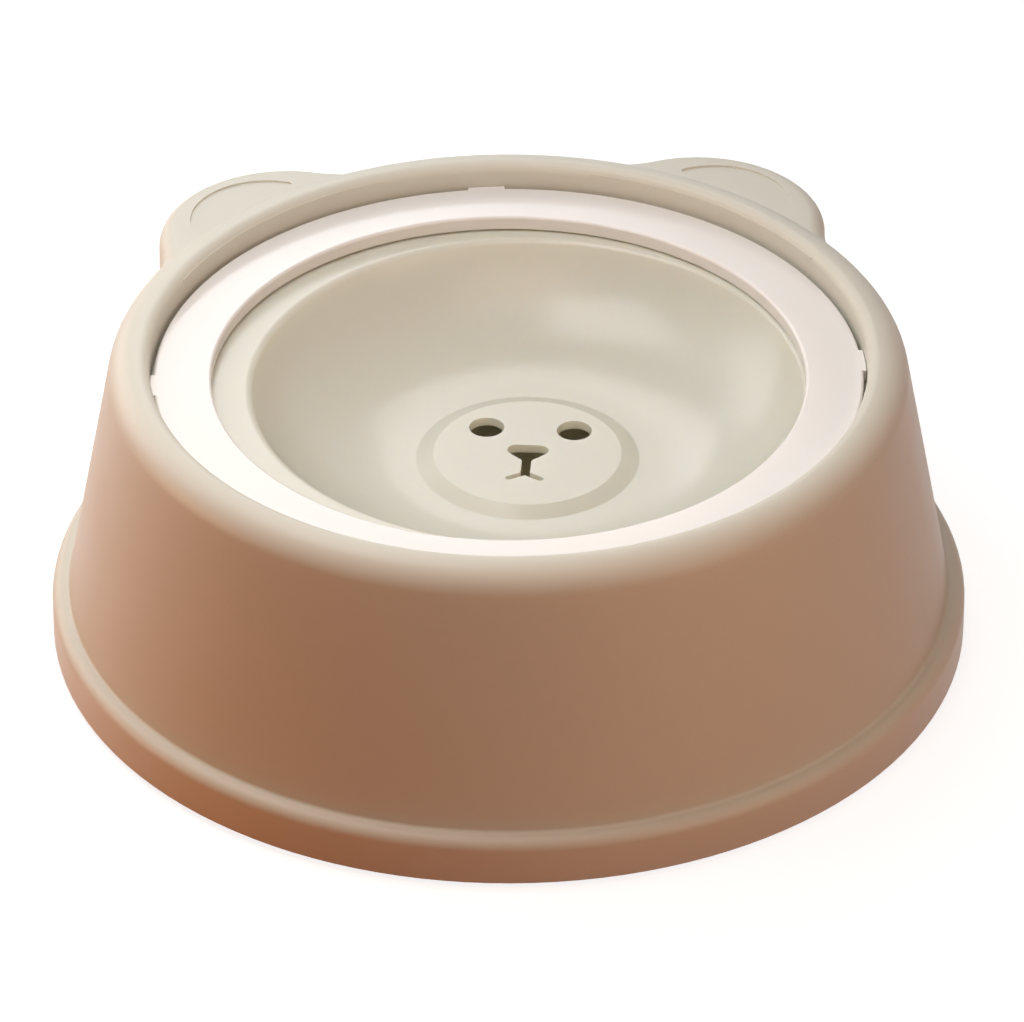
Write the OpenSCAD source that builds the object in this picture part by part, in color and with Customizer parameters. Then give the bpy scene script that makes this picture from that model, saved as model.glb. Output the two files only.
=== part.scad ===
// Spill-resistant water bowl for dogs, with a lift-off splash ring and a floating drinking dish.
// The floor under the feet is z = 0, the bowl's axis is the z axis, and the ears are at the back (+y).

/* [Base] */
// Diameter over the foot flange
base_d = 240; // [234:1:262]
// Height of the flange's top over the floor
flange_h = 14; // [9:0.5:22]
// Width of the step from the flange's edge to the side wall
flange_w = 4.4; // [3.4:0.2:8]
// Rounding of the flange's upper edge
flange_round = 3; // [1:0.25:3]
// Fillet between the flange and the side wall
flange_fillet = 1; // [0.5:0.1:2]
// Rounding of edges that are hidden or thin
edge_round = 0.6; // [0.3:0.1:0.7]
// Rounding inside hidden corners
inner_round = 0.8; // [0.4:0.1:1]
// Gap between the skirt's lower edge and the floor
skirt_gap = 1.2; // [0.5:0.1:2.5]

/* [Side and rim] */
// Height of the rim's crest over the floor
body_h = 83.6; // [74:0.2:110]
// Bore of the rim around the splash ring
rim_bore_d = 185.7; // [178:0.1:187]
// Width of the rim, from its bore to the top of the side wall
rim_w = 9.6; // [8.8:0.1:11.5]
// Rounding of the rim on the outside
rim_round_out = 8; // [4:0.25:9]
// Rounding of the rim on the inside
rim_round_in = 2.7; // [1:0.1:3.2]
// Wall thickness of the bowl
wall = 2.2; // [1.6:0.1:2.8]

/* [Basin] */
// Width of the ledge that carries the splash ring
ledge_w = 3.35; // [2.8:0.05:4.5]
// Height of the basin's floor over the floor under the feet
floor_z = 8; // [7:0.5:16]
// Rounding where the basin's wall meets its floor
basin_round = 8; // [4:0.5:10]
// Draft of the basin's wall in degrees
basin_draft = 0.6; // [0:0.1:1.5]

/* [Ears] */
// Angle of each ear from the back of the bowl
ear_angle = 40.1; // [35:0.1:60]
// Distance from the tip of an ear in to the flange's edge
ear_inset = 1.1; // [0.8:0.1:3]
// Radius of the ear's round outline
ear_r = 33.4; // [29:0.2:36]
// Radius of the hollow blend between ear and rim
ear_blend = 24.4; // [14:0.2:26]
// Depth that the blend runs into the rim
ear_sink = 0.6; // [0.4:0.1:1.5]
// Depth of the ear's top below the rim's crest
ear_drop = 1.6; // [1.2:0.1:3.5]
// Rounding of the ear's upper edge
ear_round = 4.25; // [1.5:0.25:5]
// Draft of the ear's side wall in degrees
ear_draft = 0.6; // [0.2:0.1:0.6]
// Depth of the sunk panel on the ear
panel_depth = 0.5; // [0.4:0.1:1.2]
// Radius of the panel's outer edge
panel_r = 19.9; // [17:0.1:21]
// Distance from the panel's outer edge to the tip of the ear
panel_margin = 5.6; // [4.5:0.1:7]
// Distance from the top of the side wall out to the panel's inner edge
panel_start = 0.2; // [0:0.1:2]
// Rounding of the panel's tips
panel_tip = 1.2; // [0.5:0.1:2]

/* [Splash ring] */
// Depth of the ring's top below the rim's crest
ring_drop = 6.8; // [4:0.2:9]
// Height of the ring over its ledge
ring_h = 4.2; // [4:0.1:6]
// Width of the ring's flat top
ring_w = 15; // [13:0.25:18]
// Gap between the ring and the rim's bore
ring_gap = 0.95; // [0.6:0.05:1.2]
// Wall thickness of the ring
ring_wall = 1.8; // [1.4:0.1:2]
// Height of the ring's inner lip, measured from its top
lip_h = 3.9; // [3:0.1:3.9]
// Rounding of the ring's upper edges
ring_round = 0.8; // [0.4:0.1:1.2]
// Rounding of the ring's lower edges
ring_edge = 0.4; // [0.2:0.1:0.6]
// Number of tabs that centre the ring in the rim
tab_count = 4; // [3:1:8]
// Width of each tab
tab_w = 9.8; // [6:0.2:14]
// Clearance between a tab's end and the rim's bore
tab_clear = 0.2; // [0.1:0.05:0.4]
// Gap between a tab's underside and the ledge
tab_lift = 1; // [0.4:0.1:1.5]

/* [Float] */
// Play between the centred float's edge and the basin's wall
float_gap = 6.1; // [5.5:0.1:8]
// Play between the float's flange and the ring's lip
float_play = 0.5; // [0.2:0.05:1]
// Shift of the float to the right of the bowl's axis
float_x = 5; // [-5:0.1:5]
// Shift of the float to the back of the bowl's axis
float_y = 0.4; // [-1:0.1:1]
// Turn of the float about its own axis, in degrees
float_turn = -7.75; // [-180:0.25:180]
// Wall thickness of the float
float_wall = 2.4; // [1.8:0.1:3]
// Width of the float's flange
float_flange = 11.4; // [10:0.2:14]
// Depth of the dish below the flange's top
dish_depth = 22.4; // [18:0.2:24]
// Diameter of the flat part of the dish
dish_flat_d = 68; // [68:0.5:76]
// Rounding from the flange into the dish
dish_lip = 2.5; // [1:0.25:3]
// Rounding of the flange's outer edge
float_round = 1; // [0.5:0.1:1.5]
// Depth of the float's outer rim below the flange's top
float_rim_h = 7; // [5:0.25:12]

/* [Face plate in the dish] */
// Diameter of the raised plate at its top
plate_d = 49; // [48:0.5:54]
// Height of the raised plate over the dish
plate_h = 1.7; // [1.5:0.1:4]
// Width of the slope around the raised plate
plate_slope = 4.6; // [2:0.1:5]
// Rounding of the raised plate's edge
plate_round = 1.2; // [0.6:0.1:1.5]
// Fillet between the slope and the dish
plate_fillet = 1.6; // [0.8:0.1:2]
// Diameter of each eye hole
eye_d = 9.2; // [6:0.1:12]
// Distance between the eye holes
eye_span = 23; // [17:0.2:26]
// Distance of the eye holes behind the middle of the plate
eye_y = 11.2; // [9:0.1:13]
// Width of the nose hole
nose_w = 10.8; // [8:0.1:13]
// Distance of the nose's top edge behind the middle of the plate
nose_y = 3.5; // [2:0.1:4]
// Length of the nose hole
nose_h = 8; // [6:0.1:9]
// Width of the slot below the nose
slot_w = 2.5; // [1.6:0.1:3.2]
// Distance of the slot's end in front of the middle of the plate
slot_end = 9.8; // [8:0.1:11]
// Width of the mouth's arms
mouth_w = 1.8; // [1.2:0.1:2.4]
// Reach of the mouth's arms to each side
mouth_x = 5; // [3:0.1:7]
// Distance of the mouth's ends in front of the middle of the plate
mouth_y = 13.2; // [12:0.1:15]

/* [Air chamber under the float] */
// Wall thickness of the chamber's lower shell
shell_wall = 1.8; // [1.4:0.1:2.4]
// Fit between the shell and the float's outer rim
shell_fit = 0.1; // [0.05:0.05:0.3]
// Depth of the shell's straight wall below the flange's top
shell_wall_h = 20; // [18:0.5:24]
// Depth of the shell's bottom below the dish
shell_depth = 8; // [7.5:0.1:10]
// Rounding between the shell's straight wall and its cone
shell_round = 3; // [1.5:0.25:4]
// Diameter of the well in the middle of the shell
well_d = 66; // [64:0.5:67]

/* [Feet] */
// Diameter of each rubber foot
foot_d = 20; // [14:0.5:24]
// Distance from the bowl's axis to the middle of each foot
foot_at = 66; // [50:0.5:67]
// Length of the collar around each foot
collar_h = 3; // [2:0.1:3.5]
// Clearance between a foot and its collar
foot_fit = 0.1; // [0.05:0.05:0.3]
// Rounding of the lower edge of each foot
foot_round = 1; // [0.4:0.1:1.4]

/* [Hidden] */
$fn = 96;
body_color = "#cdc2ae";
ring_color = "#f4f2ee";
float_color = "#dcd8cc";
shell_color = "#d3cec1";
foot_color = "#8f8c86";

base_r = base_d / 2;
bore_r = rim_bore_d / 2;
rim_r = bore_r + rim_w;
side_r = base_r - flange_w;

// The side wall leans in from the flange to the rim
lean = atan2(side_r - rim_r, body_h - flange_h);
// The wall's thickness, measured level through the leaning side
side_wall = wall / cos(lean);

// Levels
ring_top = body_h - ring_drop;
ledge_z = ring_top - ring_h;
ear_top = body_h - ear_drop;
float_top = ring_top - lip_h - float_play;
dish_z = float_top - dish_depth;
under_z = floor_z - wall;

// Basin
basin_r = bore_r - ledge_w;
basin_low_r = basin_r - (ledge_z - floor_z) * tan(basin_draft);

// Roundings of the rim, limited by its width
rim_in = min(rim_round_in, rim_w * 0.33);
rim_out = min(rim_round_out, (rim_w - rim_in) * tan(45 + lean / 2) * 0.98);

// Splash ring
ring_r = bore_r - ring_gap;
ring_bore_r = ring_r - ring_w;

// Float and its air chamber
float_r = basin_r - float_gap;
dish_r = float_r - float_flange;
dish_flat_r = dish_flat_d / 2;
// The dish is an arc that starts level at its flat middle
dish_arc = ((dish_r - dish_flat_r) ^ 2 + dish_depth ^ 2) / (2 * dish_depth);
dish_turn = asin((dish_r - dish_flat_r) / dish_arc);
under_turn = acos((dish_arc - dish_depth + float_wall) / (dish_arc + float_wall));
plate_r = plate_d / 2;
shell_r = float_r - float_wall - shell_fit;
well_r = well_d / 2;

// Ears, each with a round outline about ear_c and a hollow blend beside it
ear_c = base_r - ear_inset - ear_r;
blend_a = rim_r - ear_sink + ear_blend;
blend_b = ear_r + ear_blend;
blend_turn = acos((blend_a ^ 2 + ear_c ^ 2 - blend_b ^ 2) / (2 * blend_a * ear_c));
blend_x = blend_a * sin(blend_turn);
blend_y = blend_a * cos(blend_turn);
lobe_turn = atan2(blend_x, blend_y - ear_c);
// The blend's body reaches to the ear's middle line at the rim
blend_reach = norm([blend_x, blend_y - min(rim_r, ear_c)]);

// Points on the arc that rounds the corner b between a and c, about st degrees apart
function unit(v) = v / norm(v);
function wrap(a) = a > 180 ? a - 360 : a < -180 ? a + 360 : a;
function corner(a, b, c, r, st) =
    r <= 0 ? [b] :
    let (u = unit(a - b), w = unit(c - b), half = acos(u * w) / 2)
    let (m = b + unit(u + w) * r / sin(half), t0 = b + u * r / tan(half), t1 = b + w * r / tan(half))
    let (a0 = atan2(t0.y - m.y, t0.x - m.x), da = wrap(atan2(t1.y - m.y, t1.x - m.x) - a0))
    let (n = max(2, ceil(abs(da) / st)))
    [for (i = [0 : n]) m + r * [cos(a0 + da * i / n), sin(a0 + da * i / n)]];

// Closed outline through the points [x, y, r], each corner rounded by its r
function rounded(p, st = 10) =
    let (n = len(p))
    [for (i = [0 : n - 1])
        let (a = p[(i + n - 1) % n], b = p[i], c = p[(i + 1) % n])
        each corner([a.x, a.y], [b.x, b.y], [c.x, c.y], b.z, st)];

// Points of a circular arc without rounding, for use in an outline
function arc(x, z, r, from, to, n) =
    [for (i = [0 : n]) let (t = from + (to - from) * i / n) [x + r * sin(t), z - r * cos(t), 0]];

// Radius of the side wall's outer face at the height z
function side_at(z) = side_r - (z - flange_h) * tan(lean);

// Outside form of the shell, with nothing hollowed out
module shell_form() {
    rotate_extrude()
        polygon(rounded([
            [0, skirt_gap, 0],
            [base_r, skirt_gap, edge_round],
            [base_r, flange_h, flange_round],
            [side_r, flange_h, flange_fillet],
            [rim_r, body_h, rim_out],
            [bore_r, body_h, rim_in],
            [bore_r, ledge_z, 0],
            [0, ledge_z, 0]
        ]));
}

// Space inside the shell, around the basin and under the rim
module shell_hollow() {
    top = body_h - wall;
    step = flange_h - wall;
    rotate_extrude()
        polygon(rounded([
            [0, -1, 0],
            [0, ledge_z, 0],
            [bore_r + wall, ledge_z, 0],
            [bore_r + wall, top, rim_in / 4],
            [side_at(top) - side_wall, top, rim_out / 2],
            [side_at(step) - side_wall, step, inner_round],
            [base_r - wall, step, inner_round],
            [base_r - wall, -1, 0]
        ], 15));
}

// One ear, a drafted column that fades into the leaning side, set in by the given depth
module ear_form(inset, low) {
    top = ear_top - inset;
    edge = ear_round - inset / 2;
    grow = (top - low) * tan(ear_draft);
    lobe = ear_r - inset;
    hollow = ear_blend + inset;
    translate([0, ear_c, 0])
        rotate([0, 0, 90 - lobe_turn])
            rotate_extrude(angle = 2 * lobe_turn)
                polygon(rounded([[0, low, 0], [lobe + grow, low, 0], [lobe, top, edge], [0, top, 0]]));
    for (side = [0, 1])
        mirror([side, 0, 0])
            translate([blend_x, blend_y, 0])
                rotate([0, 0, 270 - lobe_turn])
                    rotate_extrude(angle = lobe_turn - blend_turn)
                        polygon(rounded([
                            [hollow - grow, low, 0],
                            [blend_reach, low, 0],
                            [blend_reach, top, 0],
                            [hollow, top, edge]
                        ]));
}

module at_ears() {
    for (side = [-1, 1])
        rotate([0, 0, side * ear_angle])
            children();
}

// Sunk crescent on the top of an ear
module ear_panel() {
    translate([0, 0, ear_top - panel_depth])
        linear_extrude(ear_drop + panel_depth + 1)
            offset(r = panel_tip)
                offset(delta = -panel_tip)
                    difference() {
                        translate([0, base_r - ear_inset - panel_margin - panel_r])
                            circle(panel_r);
                        circle(rim_r + panel_start, $fn = 240);
                    }
}

module at_feet() {
    for (turn = [45 : 90 : 315])
        rotate([0, 0, turn])
            translate([foot_at, 0, 0])
                children();
}

// Collar under the basin's floor that holds a foot
module foot_collar() {
    difference() {
        translate([0, 0, under_z - collar_h])
            cylinder(r = foot_d / 2 + foot_fit + wall, h = collar_h + wall / 2);
        translate([0, 0, under_z - collar_h - 1])
            cylinder(r = foot_d / 2 + foot_fit, h = collar_h + 1);
    }
}

// Outer part of the bowl: flange, leaning side, rim and ears
module bowl_shell() {
    color(body_color)
        difference() {
            union() {
                shell_form();
                at_ears() ear_form(0, flange_h / 2);
            }
            shell_hollow();
            difference() {
                at_ears() ear_form(wall, -1);
                translate([0, 0, -2])
                    cylinder(r = bore_r + 2 * wall, h = body_h + 2);
            }
            translate([0, 0, ledge_z - 1])
                cylinder(r = bore_r, h = body_h);
            at_ears() ear_panel();
        }
}

// Inner part of the bowl: the basin with the ledge for the ring, hung under the rim's bore
module bowl_basin() {
    color(body_color)
        union() {
            rotate_extrude()
                polygon(rounded([
                    [0, under_z, 0],
                    [basin_low_r + wall, under_z, basin_round + wall],
                    [basin_r + wall, ledge_z - wall, inner_round],
                    [bore_r + wall, ledge_z - wall, edge_round],
                    [bore_r + wall, ledge_z, 0],
                    [basin_r, ledge_z, edge_round],
                    [basin_low_r, floor_z, basin_round],
                    [0, floor_z, 0]
                ]));
            at_feet() foot_collar();
        }
}

module ring_tab() {
    intersection() {
        difference() {
            translate([0, 0, ledge_z + tab_lift])
                cylinder(r = bore_r - tab_clear, h = ring_h - tab_lift);
            translate([0, 0, ledge_z])
                cylinder(r = ring_r - ring_wall / 2, h = ring_h + 1);
        }
        translate([ring_bore_r, -tab_w / 2, ledge_z])
            cube([bore_r, tab_w, ring_h + 1]);
    }
}

module splash_ring() {
    lip_z = ring_top - lip_h;
    color(ring_color)
        union() {
            rotate_extrude()
                polygon(rounded([
                    [ring_bore_r, lip_z, ring_edge],
                    [ring_bore_r + ring_wall, lip_z, ring_edge],
                    [ring_bore_r + ring_wall, ring_top - ring_wall, ring_edge],
                    [ring_r - ring_wall, ring_top - ring_wall, ring_edge],
                    [ring_r - ring_wall, ledge_z, ring_edge / 2],
                    [ring_r, ledge_z, ring_edge],
                    [ring_r, ring_top, ring_round],
                    [ring_bore_r, ring_top, ring_round]
                ], 15));
            for (turn = [0 : 360 / tab_count : 359])
                rotate([0, 0, turn])
                    ring_tab();
        }
}

// Two eyes, a nose, a slot and a mouth, cut through the raised plate
module face_holes() {
    nose_r = nose_w * 0.22;
    for (side = [-1, 1])
        translate([side * eye_span / 2, eye_y, dish_z - 5])
            cylinder(r = eye_d / 2, h = plate_h + 10);
    translate([0, 0, dish_z - 5])
        linear_extrude(plate_h + 10) {
            hull() {
                for (side = [-1, 1])
                    translate([side * (nose_w / 2 - nose_r), nose_y - nose_r])
                        circle(nose_r, $fn = 32);
                translate([0, nose_y - nose_h + slot_w / 2])
                    circle(slot_w / 2, $fn = 32);
            }
            translate([-slot_w / 2, -slot_end])
                square([slot_w, nose_y - nose_h + slot_w / 2 + slot_end]);
            for (side = [-1, 1])
                hull() {
                    translate([0, -slot_end])
                        circle(mouth_w / 2, $fn = 32);
                    translate([side * (mouth_x - mouth_w / 2), -mouth_y + mouth_w / 2])
                        circle(mouth_w / 2, $fn = 32);
                }
        }
}

module float_place() {
    translate([float_x, float_y, 0])
        rotate([0, 0, float_turn])
            children();
}

module float_plate() {
    inner = float_r - float_wall;
    color(float_color)
        float_place()
            difference() {
                rotate_extrude()
                    polygon(rounded(concat(
                        [
                            [0, dish_z + plate_h - float_wall, 0],
                            [0, dish_z + plate_h, 0],
                            [plate_r, dish_z + plate_h, plate_round],
                            [plate_r + plate_slope, dish_z, plate_fillet]
                        ],
                        arc(dish_flat_r, dish_z + dish_arc, dish_arc, 0, dish_turn * 11 / 12, 11),
                        [
                            [dish_r, float_top, dish_lip],
                            [float_r, float_top, float_round],
                            [float_r, float_top - float_rim_h, edge_round],
                            [inner, float_top - float_rim_h, edge_round / 2],
                            [inner, float_top - float_wall, 0]
                        ],
                        arc(dish_flat_r, dish_z + dish_arc, dish_arc + float_wall, under_turn, 0, 12),
                        [
                            [plate_r + plate_slope * 0.5, dish_z - float_wall, inner_round],
                            [plate_r - plate_slope * 0.5, dish_z + plate_h - float_wall, inner_round]
                        ]
                    )));
                face_holes();
            }
}

module float_base() {
    low = dish_z - shell_depth;
    bend = float_top - shell_wall_h;
    seat = dish_z - float_wall;
    fall = atan2(bend - low, shell_r - well_r);
    thick = shell_wall / cos(fall);
    color(shell_color)
        float_place()
            rotate_extrude()
                polygon(rounded([
                    [shell_r, float_top - float_wall, 0],
                    [shell_r - shell_wall, float_top - float_wall, 0],
                    [shell_r - shell_wall, bend + thick, shell_round / 2],
                    [well_r + shell_wall, low + thick, inner_round],
                    [well_r + shell_wall, seat, 0],
                    [well_r, seat, 0],
                    [well_r, low, inner_round],
                    [shell_r, bend, shell_round]
                ], 15));
}

// Rubber foot in its collar, at the given turn about the bowl's axis
module foot(turn) {
    color(foot_color)
        rotate([0, 0, turn])
            translate([foot_at, 0, 0])
                rotate_extrude()
                    polygon(rounded([
                        [0, 0, 0],
                        [foot_d / 2, 0, foot_round],
                        [foot_d / 2, under_z, 0],
                        [0, under_z, 0]
                    ], 15));
}

bowl_shell();
bowl_basin();
splash_ring();
float_plate();
float_base();
foot(225);  // foot_front_left
foot(315);  // foot_front_right
foot(135);  // foot_back_left
foot(45);  // foot_back_right
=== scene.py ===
import math

import bpy
from mathutils import Matrix, Quaternion, Vector

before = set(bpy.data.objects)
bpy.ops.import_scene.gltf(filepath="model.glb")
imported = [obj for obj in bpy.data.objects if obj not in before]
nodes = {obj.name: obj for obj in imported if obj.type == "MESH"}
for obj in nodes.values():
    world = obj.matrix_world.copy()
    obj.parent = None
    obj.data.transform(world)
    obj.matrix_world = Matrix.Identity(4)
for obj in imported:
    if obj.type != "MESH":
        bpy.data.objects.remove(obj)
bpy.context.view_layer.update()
scene = bpy.context.scene
scene.view_settings.view_transform = "Standard"

# Camera, as fitted to the photograph: the bowl is turned a little to its left
TURN = math.radians(-3.75)
ELEVATION = math.radians(33.763)
DISTANCE = 2.0
TARGET = Vector((0.00089, 0, 0.03378))
LENS, SENSOR = 268.55, 36


def turned(v):
    """The vector as the turned camera has it."""
    return Matrix.Rotation(TURN, 3, "Z") @ Vector(v)


back = Vector((0, -math.cos(ELEVATION), math.sin(ELEVATION)))
camera = bpy.data.objects.new("camera", bpy.data.cameras.new("camera"))
scene.collection.objects.link(camera)
camera.data.sensor_width = SENSOR
camera.data.lens = LENS
camera.location = turned(TARGET + DISTANCE * back)
camera.rotation_mode = "QUATERNION"
camera.rotation_quaternion = (-turned(back)).to_track_quat("-Z", "Y")
camera.data.clip_start, camera.data.clip_end = 0.05, 50
scene.camera = camera


class Nodes:
    """A small helper that builds a node tree line by line."""

    def __init__(self, tree):
        self.tree = tree
        tree.nodes.clear()

    def add(self, kind, inputs=None, **settings):
        node = self.tree.nodes.new(kind)
        for key, value in settings.items():
            setattr(node, key, value)
        for key, value in (inputs or {}).items():
            socket = node.inputs[key]
            if isinstance(value, bpy.types.NodeSocket):
                self.tree.links.new(value, socket)
            else:
                socket.default_value = value
        return node

    def noise(self, where, scale, detail=2.0, rough=0.5):
        """Noise in 3-D, with the given number of cells to a metre."""
        return self.add("ShaderNodeTexNoise", {
            "Vector": where, "Scale": scale, "Detail": detail, "Roughness": rough,
        }).outputs["Fac"]

    def spread(self, value, low, high, a=0.3, b=0.7):
        """The value's range from a to b, carried to the range from low to high."""
        return self.add("ShaderNodeMapRange", {
            "Value": value, "From Min": a, "From Max": b, "To Min": low, "To Max": high,
        }).outputs["Result"]

    def math(self, operation, a, b):
        return self.add("ShaderNodeMath", {0: a, 1: b}, operation=operation).outputs[0]

    def mix(self, fac, a, b):
        node = self.add("ShaderNodeMix", data_type="RGBA")
        for socket, value in ((node.inputs[0], fac), (node.inputs[6], a), (node.inputs[7], b)):
            if isinstance(value, bpy.types.NodeSocket):
                self.tree.links.new(value, socket)
            else:
                socket.default_value = value
        return node.outputs[2]


def material(name):
    """A new material and the helper that fills its node tree."""
    made = bpy.data.materials.new(name)
    made.use_nodes = True
    return made, Nodes(made.node_tree)


def shade(colour, by):
    """The colour times a factor, with alpha."""
    return tuple(c * by for c in colour) + (1.0,)


# Cells to a metre of the noises in the plastics and the rubber
CLOUDS, WAVES, SHEEN, SPECKS, SKIN = 16, 45, 60, 900, 1600
DUST, RUBBER_SKIN = 220, 2600
PLASTIC_IOR, RUBBER_IOR = 1.49, 1.52


def plastic(name, colour, rough, soft=0.0, through=0.0, gloss=0.5, depth=0.003):
    """Moulded polypropylene, with faint flow clouds in its colour, uneven gloss and a very fine skin.

    soft is the share of light that scatters under the surface, depth how far it gets in metres, and
    through the share that enters the wall and leaves it at the other side.
    """
    made, n = material(name)
    where = n.add("ShaderNodeTexCoord").outputs["Object"]
    clouds = n.noise(where, CLOUDS, 1, 0.4)
    specks = n.noise(where, SPECKS, 2, 0.6)
    tone = n.mix(n.spread(clouds, 0, 1, 0.1, 0.9), shade(colour, 0.985), shade(colour, 1.01))
    tone = n.mix(n.spread(specks, 0, 0.1, 0.1, 0.9), tone, shade(colour, 0.92))
    sheen = n.noise(where, SHEEN, 2, 0.5)
    skin = n.noise(where, SKIN, 2, 0.5)
    wave = n.noise(where, WAVES, 2, 0.4)
    relief = n.add("ShaderNodeBump", {"Height": wave, "Strength": 0.12, "Distance": 0.0006}).outputs["Normal"]
    relief = n.add("ShaderNodeBump", {
        "Height": skin, "Strength": 0.05, "Distance": 0.0002, "Normal": relief,
    }).outputs["Normal"]
    shader = n.add("ShaderNodeBsdfPrincipled", {
        "Base Color": tone,
        "Roughness": n.spread(sheen, rough * 0.85, rough * 1.2, 0.1, 0.9),
        "IOR": PLASTIC_IOR,
        "Specular IOR Level": gloss,
        "Subsurface Weight": soft,
        "Subsurface Radius": (1.0, 0.72, 0.5),
        "Subsurface Scale": depth,
        "Normal": relief,
    })
    passed = n.add("ShaderNodeBsdfTranslucent", {"Color": tone, "Normal": relief})
    # Light that is inside the wall already leaves it
    inside = n.add("ShaderNodeNewGeometry").outputs["Backfacing"]
    share = n.math("MAXIMUM", inside, through)
    both = n.add("ShaderNodeMixShader", {0: share, 1: shader.outputs["BSDF"], 2: passed.outputs["BSDF"]})
    n.add("ShaderNodeOutputMaterial", {"Surface": both.outputs["Shader"]})
    return made


def rubber(name, colour):
    """Matt rubber with dust in its pores."""
    made, n = material(name)
    where = n.add("ShaderNodeTexCoord").outputs["Object"]
    dust = n.noise(where, DUST, 4, 0.65)
    tone = n.mix(n.spread(dust, 0, 1), shade(colour, 0.85), shade(colour, 1.12))
    skin = n.noise(where, RUBBER_SKIN, 3, 0.6)
    relief = n.add("ShaderNodeBump", {"Height": skin, "Strength": 0.25, "Distance": 0.0003})
    shader = n.add("ShaderNodeBsdfPrincipled", {
        "Base Color": tone,
        "Roughness": n.spread(dust, 0.62, 0.8),
        "IOR": RUBBER_IOR,
        "Normal": relief.outputs["Normal"],
    })
    n.add("ShaderNodeOutputMaterial", {"Surface": shader.outputs["BSDF"]})
    return made


# The colours as seen under white light. The bowl is satin, the ring and the dish are glossy, and the dish is
# thin enough to let light into the basin.
BOWL = (0.695, 0.695, 0.62)
RING = (0.82, 0.815, 0.80)
DISH = (0.87, 0.87, 0.765)
SHELL = (0.9, 0.89, 0.81)
RUBBER = (0.3, 0.29, 0.275)
bowl_plastic = plastic("bowl plastic", BOWL, 0.36, through=0.15, gloss=0.25)
feet = rubber("foot rubber", RUBBER)
looks = {
    "bowl_shell": bowl_plastic,
    "bowl_basin": bowl_plastic,
    "splash_ring": plastic("ring plastic", RING, 0.16, through=0.1),
    "float_plate": plastic("dish plastic", DISH, 0.22, soft=0.3, through=0.3, depth=0.006),
    "float_base": plastic("shell plastic", SHELL, 0.22, through=0.8),
}


SAME_PLACE = 1e-5


def smoothing(angle):
    """Node group that shades a mesh smooth, except over edges sharper than the angle in degrees."""
    tree = bpy.data.node_groups.new("smooth by angle", "GeometryNodeTree")
    tree.interface.new_socket("Geometry", in_out="INPUT", socket_type="NodeSocketGeometry")
    tree.interface.new_socket("Geometry", in_out="OUTPUT", socket_type="NodeSocketGeometry")
    n = Nodes(tree)
    mesh = n.add("NodeGroupInput").outputs["Geometry"]
    mesh = n.add("GeometryNodeMergeByDistance", {"Geometry": mesh, "Distance": SAME_PLACE}).outputs["Geometry"]
    mesh = n.add("GeometryNodeSetShadeSmooth", {"Geometry": mesh, "Shade Smooth": True}).outputs["Geometry"]
    turn = n.add("GeometryNodeInputMeshEdgeAngle").outputs["Unsigned Angle"]
    hard = n.add(
        "FunctionNodeCompare", {0: turn, 1: math.radians(angle)}, data_type="FLOAT", operation="GREATER_THAN"
    ).outputs["Result"]
    mesh = n.add("GeometryNodeSetShadeSmooth", {
        "Geometry": mesh, "Selection": hard, "Shade Smooth": False,
    }, domain="EDGE").outputs["Geometry"]
    n.add("NodeGroupOutput", {"Geometry": mesh})
    return tree


# The rounded edges of the mouldings are shaded as the smooth curves they are, and each node gets its look
smooth = smoothing(28)
for name, node in nodes.items():
    node.modifiers.new("smooth", "NODES").node_group = smooth
    level = node.modifiers.new("even", "WEIGHTED_NORMAL")
    level.mode, level.weight, level.keep_sharp = "FACE_AREA", 50, True
    look = looks.get(name, feet)
    if not node.data.materials:
        node.data.materials.append(look)
    for slot in node.material_slots:
        slot.link = "OBJECT"
        slot.material = look


def shown_to_camera(n):
    """1 for a ray from the camera, straight or off a shiny face, and 0 for the light on the object."""
    path = n.add("ShaderNodeLightPath").outputs
    clear = n.math("SUBTRACT", path["Is Transmission Ray"], path["Is Diffuse Ray"])
    seen = n.math("MAXIMUM", path["Is Camera Ray"], path["Is Glossy Ray"])
    return n.math("MAXIMUM", seen, clear)


# Floor: pale to the camera, and the warm wood of the photograph to the light that bounces off it
REACH = 4
floor_mesh = bpy.data.meshes.new("floor")
floor_mesh.from_pydata([(x * REACH, y * REACH, 0) for x, y in ((-1, -1), (1, -1), (1, 1), (-1, 1))], [], [(0, 1, 2, 3)])
floor = bpy.data.objects.new("floor", floor_mesh)
scene.collection.objects.link(floor)
made, n = material("floor")
seen = shown_to_camera(n)
wood = n.add("ShaderNodeBsdfDiffuse", {"Color": (0.62, 0.16, 0.03, 1)})
pale = n.add("ShaderNodeBsdfDiffuse", {"Color": (0.36, 0.36, 0.36, 1)})
glow = n.add("ShaderNodeEmission", {"Color": (1, 1, 1, 1), "Strength": 0.84})
shown = n.add("ShaderNodeAddShader", {0: pale.outputs[0], 1: glow.outputs[0]})
both = n.add("ShaderNodeMixShader", {0: seen, 1: wood.outputs[0], 2: shown.outputs[0]})
n.add("ShaderNodeOutputMaterial", {"Surface": both.outputs[0]})
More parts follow.
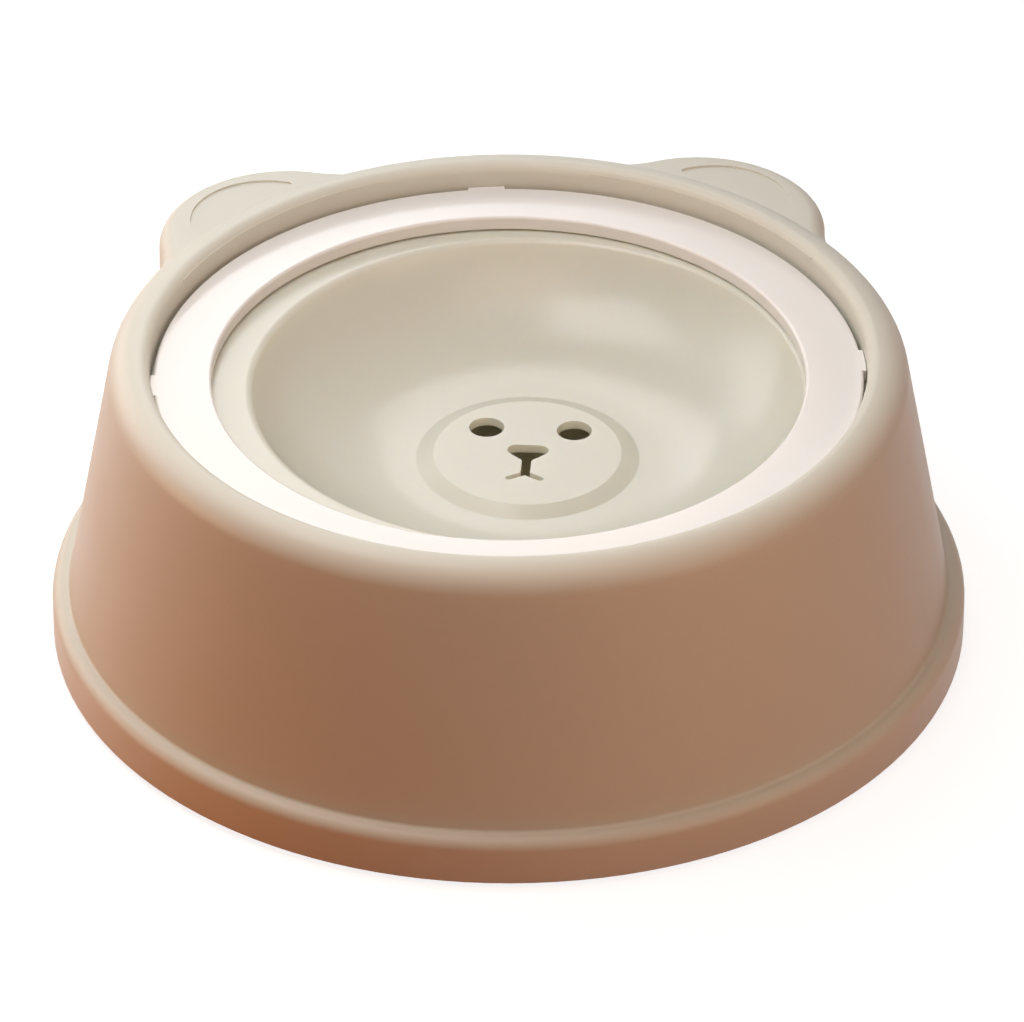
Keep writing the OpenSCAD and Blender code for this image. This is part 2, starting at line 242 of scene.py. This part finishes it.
floor.data.materials.append(made)

# World: white to the camera, and to the object a dim sky that is warm near the horizon
world = bpy.data.worlds.new("world")
scene.world = world
world.use_nodes = True
n = Nodes(world.node_tree)
seen = shown_to_camera(n)
up = n.add("ShaderNodeSeparateXYZ", {0: n.add("ShaderNodeTexCoord").outputs["Generated"]}).outputs["Z"]
rise = n.spread(up, 0, 1, -0.05, 0.8)
sky = n.mix(rise, (0.03, 0.022, 0.015, 1), (0.02, 0.02, 0.02, 1))
tone = n.mix(seen, sky, (1, 1, 1, 1))
light = n.add("ShaderNodeBackground", {"Color": tone, "Strength": 1})
n.add("ShaderNodeOutputWorld", {"Surface": light.outputs[0]})


def lamp(name, place, size, power, colour=(1, 1, 1), aim=(0, 0, 0.05), roll=0):
    """A soft box of the given size in metres and power in watts, which the camera doesn't see."""
    data = bpy.data.lights.new(name, "AREA")
    data.shape = "RECTANGLE"
    data.size, data.size_y = size
    data.energy = power
    data.color = colour
    made = bpy.data.objects.new(name, data)
    scene.collection.objects.link(made)
    made.location = place
    made.rotation_mode = "QUATERNION"
    turn = (Vector(aim) - Vector(place)).to_track_quat("-Z", "Y")
    made.rotation_quaternion = turn @ Quaternion((0, 0, 1), math.radians(roll))
    made.visible_camera = False


# Lamps, as fitted to the light in the photograph
WARM = (1, 0.42, 0.1)
lamp("key", (-0.12, 0.02, 0.42), (0.2, 0.2), 0.66)
lamp("over", (0.0, -0.12, 0.42), (0.25, 0.25), 0.25)
lamp("back", (-0.034, 0.8, 0.716), (0.4, 0.6), 2.43, aim=(0, 0, 0.077), roll=45)
lamp("back left", (-0.538, 0.538, 0.297), (0.5, 0.5), 1.77)
lamp("high left", (-0.332, 0.192, 0.371), (0.3, 0.3), 0.31)
lamp("front", (0.0, -0.225, 0.44), (0.3, 0.3), 0.31, WARM)
lamp("front right", (0.538, -0.538, 0.297), (0.5, 0.5), 1.91, (1, 0.67, 0.49))
lamp("left low", (-0.597, 0.0, 0.113), (0.3, 0.14), 0.94, WARM)
